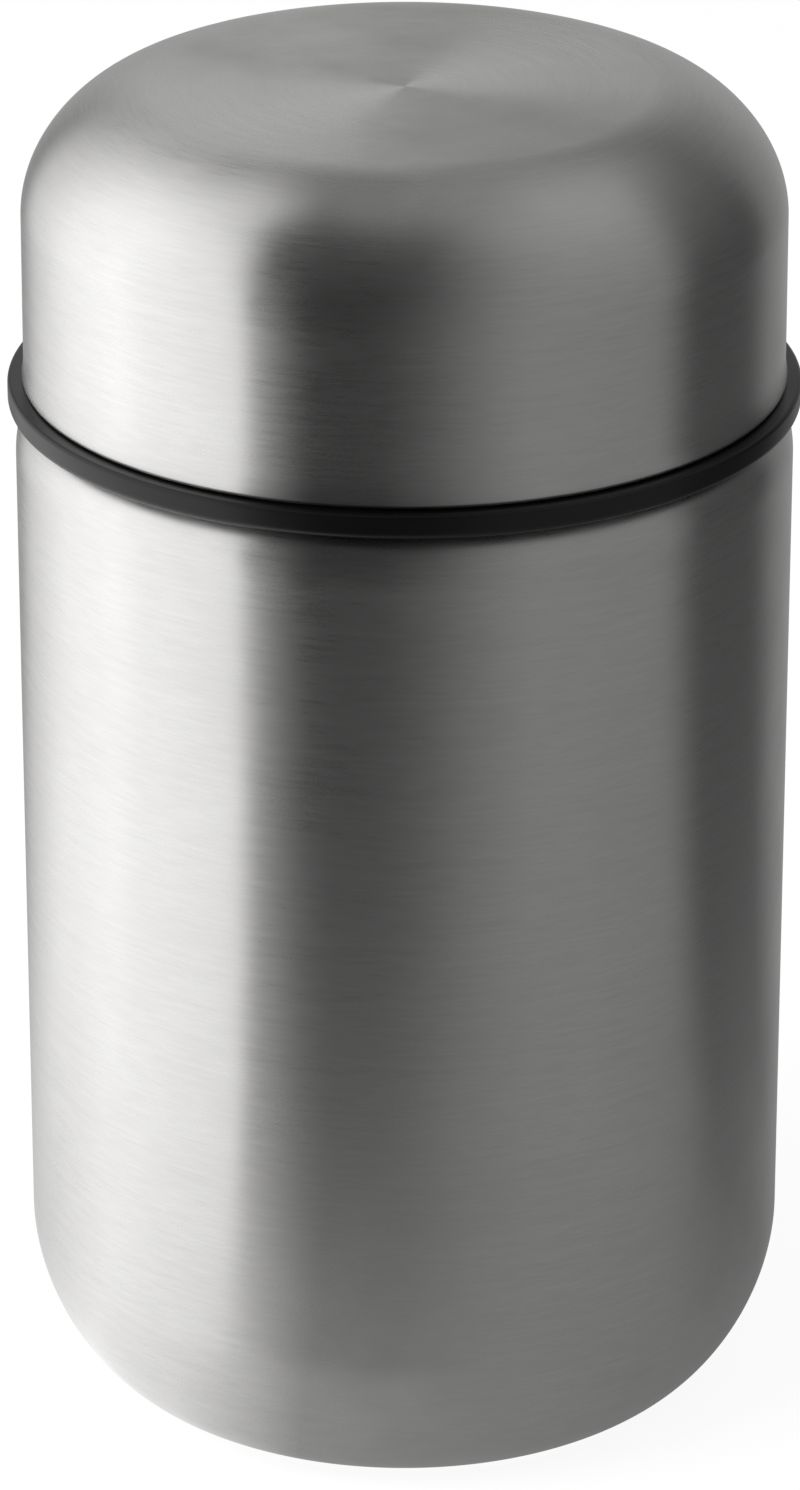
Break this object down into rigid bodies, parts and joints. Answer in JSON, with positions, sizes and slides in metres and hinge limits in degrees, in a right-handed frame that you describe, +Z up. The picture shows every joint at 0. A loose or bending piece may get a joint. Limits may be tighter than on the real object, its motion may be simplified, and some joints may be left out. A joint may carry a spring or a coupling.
{
  "type": "insulated food jar",
  "caption": "Round double-walled steel food jar with a rounded base, a domed screw lid on a black ring, and a vented screw stopper in its wide mouth.",
  "frame": {"origin": "centre of the foot, on the surface the jar stands on", "axes": "+Z up along the jar's axis, from the foot to the lid; the jar is round, and the stopper's grip bar runs along Y"},
  "size_m": [0.0966, 0.0966, 0.1693],
  "materials": {
    "shell_steel": "satin",
    "lid_steel": "satin",
    "vessel_steel": "satin",
    "spring_steel": "gloss",
    "getter_metal": "matte",
    "bead_glass": "gloss",
    "ring_rubber": "satin",
    "silicone": "satin",
    "liner_plastic": "satin",
    "stopper_plastic": "satin",
    "button_plastic": "satin",
    "foam": "matte"
  },
  "bodies": {
    "jar": {"outer_shell": "shell_steel", "inner_vessel": "vessel_steel", "vacuum_base": "vessel_steel", "sealing_bead": "bead_glass", "getter_holder": "vessel_steel", "getter": "getter_metal", "base_cover": "shell_steel"},
    "stopper_seal": {"stopper_gasket": "silicone"},
    "stopper": {"stopper_housing": "stopper_plastic", "stopper_foam": "foam", "stopper_cover": "stopper_plastic", "vent_tube_seal": "silicone", "vent_spring": "spring_steel"},
    "vent": {"vent_button": "button_plastic", "vent_stem": "button_plastic", "vent_valve_seal": "silicone", "vent_retainer": "button_plastic"},
    "lid_ring": {"lid_seal_ring": "ring_rubber"},
    "lid": {"lid_shell": "lid_steel", "lid_liner": "liner_plastic", "lid_foam": "foam"}
  },
  "joints": [
    {"name": "stopper_lift", "type": "slide", "parent": "jar", "child": "stopper_seal", "axis": [0, 0, 1], "range_m": [0, 0.085]},
    {"name": "stopper_turn", "type": "hinge", "parent": "stopper_seal", "child": "stopper", "pos_m": [0, 0, 0.14], "axis": [0, 0, 1], "range_deg": [0, 360]},
    {"name": "vent_press", "type": "slide", "parent": "stopper", "child": "vent", "axis": [0, 0, -1], "range_m": [0, 0.0025], "stiffness_N_per_m": 600, "springref_m": -0.003, "deforming": ["vent_spring"]},
    {"name": "lid_lift", "type": "slide", "parent": "stopper_seal", "child": "lid_ring", "axis": [0, 0, 1], "range_m": [0, 0.06]},
    {"name": "lid_turn", "type": "hinge", "parent": "lid_ring", "child": "lid", "pos_m": [0, 0, 0.15], "axis": [0, 0, 1], "range_deg": [0, 360]}
  ]
}
